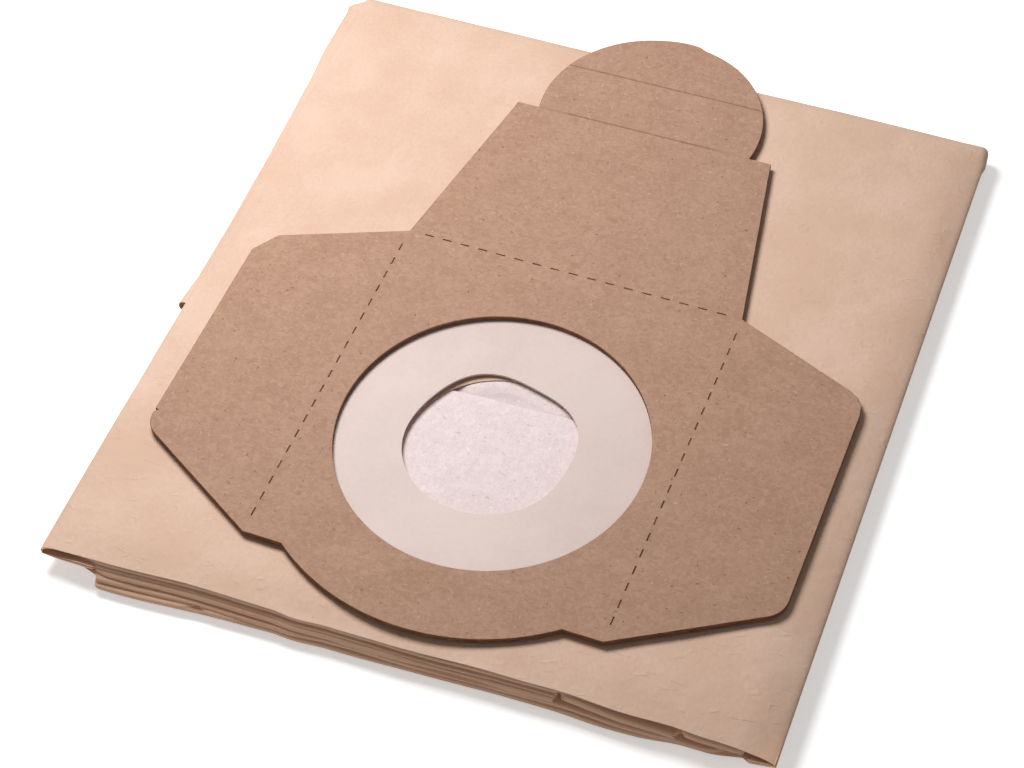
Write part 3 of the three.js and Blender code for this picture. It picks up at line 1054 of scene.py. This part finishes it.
def outline_points():
    tip = BODY_HALF + WING_REACH
    tab_centre = NECK_END + TAB_CENTRE_FROM_NECK
    tab_angle = math.asin(TAB_CENTRE_FROM_NECK / TAB_RADIUS)
    lip_angle = math.asin(BODY_FRONT / LIP_RADIUS)
    corners = [
        Vector((BODY_HALF, -BODY_FRONT)),
        Vector((tip, -WING_FRONT)),
        Vector((tip, WING_BACK)),
        Vector((BODY_HALF, BODY_BACK)),
    ]
    sides = []
    for reach, steps in WING_BACK_CORNERS:
        side = [corners[0], *rounded(*corners[:3], WING_FRONT_CORNER)]
        side += [*rounded(*corners[1:], reach, steps), corners[3], Vector((NECK_HALF, NECK_END))]
        sides.append(side)
    left = [Vector((-point.x, point.y)) for point in reversed(sides[0])]
    corner = next(number for number, point in enumerate(left) if point.x < 1 - tip and point.y < 0)
    left[corner:corner] = [Vector((x - tip, WING_FRONT_CORNER - WING_FRONT + y)) for x, y in WING_NICK]
    lip = arc((0, 0), LIP_RADIUS, math.pi + lip_angle, 2 * math.pi - lip_angle, 72)
    tab = arc((0, tab_centre), TAB_RADIUS, -tab_angle, math.pi + tab_angle, 120)
    for point in tab:
        if point.y > tab_centre:
            point.y += along(TAB_WEAR, point.x)
    return [*lip, *sides[1], *tab, *left]


print("points of the outline:", len(outline_points()))

# %% Perforations


def slot_rows():
    """The two ends of each row of perforations."""
    side_front, side_back = SLOT_CORNER_CLEARANCE - BODY_FRONT, BODY_BACK - SLOT_CORNER_CLEARANCE
    reach = BODY_HALF - SLOT_CORNER_CLEARANCE
    rows = [((side, side_front), (side, side_back)) for side in (-BODY_HALF, BODY_HALF)]
    rows.append(((-reach, BODY_BACK), (reach, BODY_BACK)))
    return [(Vector(start), Vector(end)) for start, end in rows]


def draw_slots(bm):
    """The outline of each perforation, as its four edges."""
    outlines = []
    for start, end in slot_rows():
        length = (end - start).length
        ahead = (end - start) / length
        aside = Vector((-ahead.y, ahead.x))
        count = int((length - SLOT_LENGTH) / SLOT_PITCH) + 1
        first = (length - (count - 1) * SLOT_PITCH) / 2
        for number in range(count):
            middle = start + ahead * (first + number * SLOT_PITCH)
            corners = [
                middle + ahead * (a * SLOT_LENGTH / 2) + aside * (b * SLOT_HALF_WIDTH)
                for a, b in ((-1, -1), (1, -1), (1, 1), (-1, 1))
            ]
            outlines.append(draw_line(bm, corners, closed=True))
    return outlines


print("rows of perforations:", len(slot_rows()))

# %% Board from its outline
GRID_STEP = 9.0
EDGE_SOFTENING = 0.18


def board_lift(x, y):
    """How far the board has sprung up from the paper, in millimetres: most at its free corners."""
    away = smooth_step(math.hypot(x, y), 60, 150)
    return 0.5 * away * (0.6 + 0.5 * ripple(60, x, y, 2.0))


def collar_solid():
    bm = bmesh.new()
    edges = draw_line(bm, outline_points(), closed=True)
    edges += draw_line(bm, arc((0, 0), WINDOW_RADIUS, 0, 2 * math.pi, 144)[:-1], closed=True)
    slots = draw_slots(bm)
    edges += [edge for outline in slots for edge in outline]
    bmesh.ops.triangle_fill(bm, edges=edges, use_beauty=True)
    for outline in slots:
        for face in bmesh.ops.contextual_create(bm, geom=outline)["faces"]:
            face.material_index = 1
    bmesh.ops.recalc_face_normals(bm, faces=bm.faces)
    if bm.faces[:][0].normal.z < 0:
        bmesh.ops.reverse_faces(bm, faces=bm.faces)
    for score in SCORES:
        for offset in (-SCORE_HALF_WIDTH, 0, SCORE_HALF_WIDTH):
            cut_across(bm, (0, score + offset, 0), (0, 1, 0))
    steps = int(BODY_HALF * 2 / GRID_STEP) + 4
    for number in range(-steps, steps + 8):
        cut_across(bm, (number * GRID_STEP + 2, 0, 0), (1, 0, 0))
        cut_across(bm, (0, number * GRID_STEP + 3, 0), (0, 1, 0))
    top = bm.faces[:]
    walls = bmesh.ops.extrude_face_region(bm, geom=top, use_keep_orig=True)["geom"]
    lowered = [part for part in walls if isinstance(part, bmesh.types.BMVert)]
    bmesh.ops.translate(bm, verts=lowered, vec=(0, 0, BOARD_BOTTOM - BOARD_TOP))
    bmesh.ops.recalc_face_normals(bm, faces=bm.faces)
    bmesh.ops.translate(bm, verts=bm.verts, vec=(0, 0, BOARD_TOP))
    pressed = [face for face in bm.faces if face.material_index == 1 and face.normal.z > 0.5]
    bmesh.ops.inset_region(
        bm, faces=pressed, thickness=SLOT_SLANT, depth=-SLOT_DEPTH, use_even_offset=True,
    )
    return bm


def cut_across(bm, point, normal):
    everything = bm.verts[:] + bm.edges[:] + bm.faces[:]
    bmesh.ops.bisect_plane(bm, geom=everything, dist=0.0005, plane_co=point, plane_no=normal)


board_blank = collar_solid()
print("the board's blank has", len(board_blank.faces), "faces")

# %% Finish the board


def in_slot(place):
    aside = min(abs(abs(place.x) - BODY_HALF), abs(place.y - BODY_BACK))
    return aside < SLOT_HALF_WIDTH + 0.01 and place.y < NECK_END


def finish_collar(bm):
    """Rounds the rims, presses the scores in and lets the board spring up a little."""
    for face in bm.faces:
        if abs(face.normal.z) < 0.5:
            face.material_index = 1
    rims = [
        edge
        for edge in bm.edges
        if len(edge.link_faces) == 2
        and edge.link_faces[0].material_index != edge.link_faces[1].material_index
        and not all(in_slot(vertex.co) for vertex in edge.verts)
    ]
    bmesh.ops.bevel(
        bm, geom=rims, offset=EDGE_SOFTENING, segments=1, profile=0.5, affect="EDGES", material=-1,
    )
    for vertex in bm.verts:
        x, y, z = vertex.co
        from_score = min(abs(y - score) for score in SCORES)
        if z > BOARD_TOP - EDGE_SOFTENING * 1.2 and from_score < 0.05:
            z -= SCORE_DEPTH
        vertex.co.z = z + board_lift(x, y)
    bmesh.ops.rotate(bm, verts=bm.verts, cent=(0, 0, 0), matrix=Matrix.Rotation(COLLAR_TURN, 3, "Z"))
    return bm


collar_board = finished(
    finish_collar(board_blank),
    "collar_board", [board, board_edge], "cardboard_collar",
)
